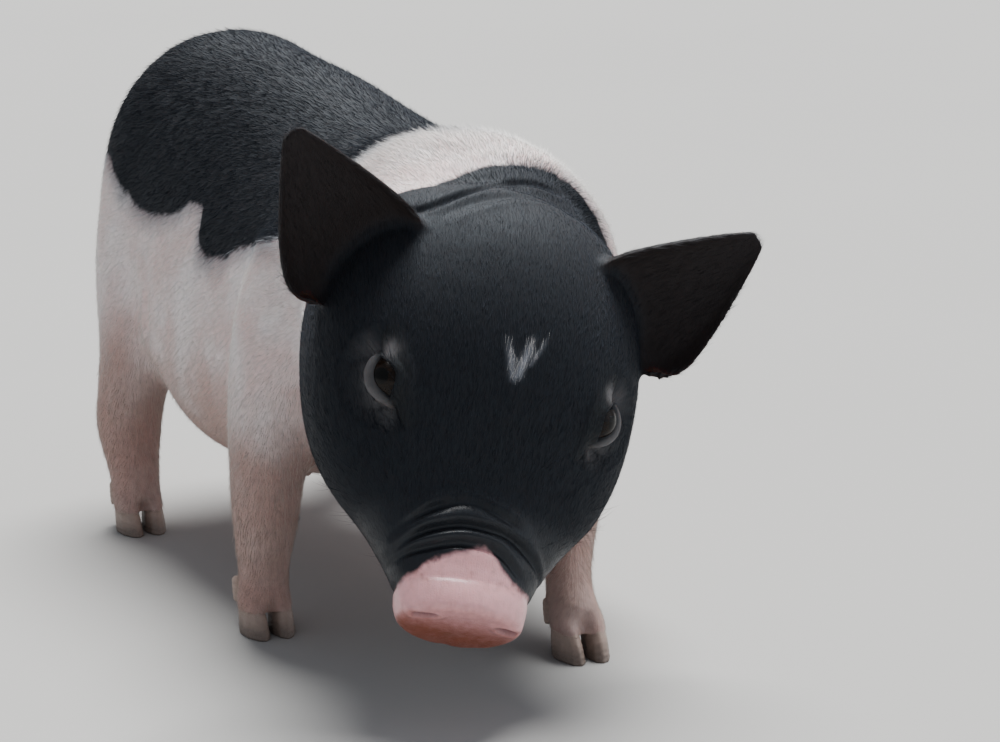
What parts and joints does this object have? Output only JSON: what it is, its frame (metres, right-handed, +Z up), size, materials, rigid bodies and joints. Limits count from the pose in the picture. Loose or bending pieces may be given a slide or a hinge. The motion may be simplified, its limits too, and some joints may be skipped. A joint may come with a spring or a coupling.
{
  "type": "piglet",
  "caption": "Life-size young domestic pig, standing with its head held low to sniff the ground; black head and rump, white shoulders, belly and legs.",
  "frame": {"origin": "on the floor, under the middle of the box round the pig", "axes": "+Z up; the pig faces -Y and its left side is at +X"},
  "size_m": [0.1368, 0.3018, 0.1642],
  "materials": {
    "white_skin": "pale pink skin under short white hair",
    "black_skin": "black skin under short glossy black hair",
    "snout_skin": "bare, moist pink skin",
    "claw": "dull horn",
    "eye": "wet, dark brown"
  },
  "bodies": {
    "root": {"torso": "white_skin", "neck": "black_skin", "head": "black_skin", "snout": "snout_skin", "ear_left": "black_skin", "ear_right": "black_skin", "eye_left": "eye", "eye_right": "eye", "tail_base": "black_skin", "tail_tip": "black_skin", "foreleg_left_upper": "white_skin", "foreleg_left_lower": "white_skin", "foreleg_left_foot": "white_skin", "foreleg_left_claw_left": "claw", "foreleg_left_claw_right": "claw", "foreleg_left_dewclaw_left": "claw", "foreleg_left_dewclaw_right": "claw", "foreleg_right_upper": "white_skin", "foreleg_right_lower": "white_skin", "foreleg_right_foot": "white_skin", "foreleg_right_claw_left": "claw", "foreleg_right_claw_right": "claw", "foreleg_right_dewclaw_left": "claw", "foreleg_right_dewclaw_right": "claw", "hindleg_left_upper": "white_skin", "hindleg_left_lower": "white_skin", "hindleg_left_foot": "white_skin", "hindleg_left_claw_left": "claw", "hindleg_left_claw_right": "claw", "hindleg_left_dewclaw_left": "claw", "hindleg_left_dewclaw_right": "claw", "hindleg_right_upper": "white_skin", "hindleg_right_lower": "white_skin", "hindleg_right_foot": "white_skin", "hindleg_right_claw_left": "claw", "hindleg_right_claw_right": "claw", "hindleg_right_dewclaw_left": "claw", "hindleg_right_dewclaw_right": "claw"}
  },
  "joints": []
}
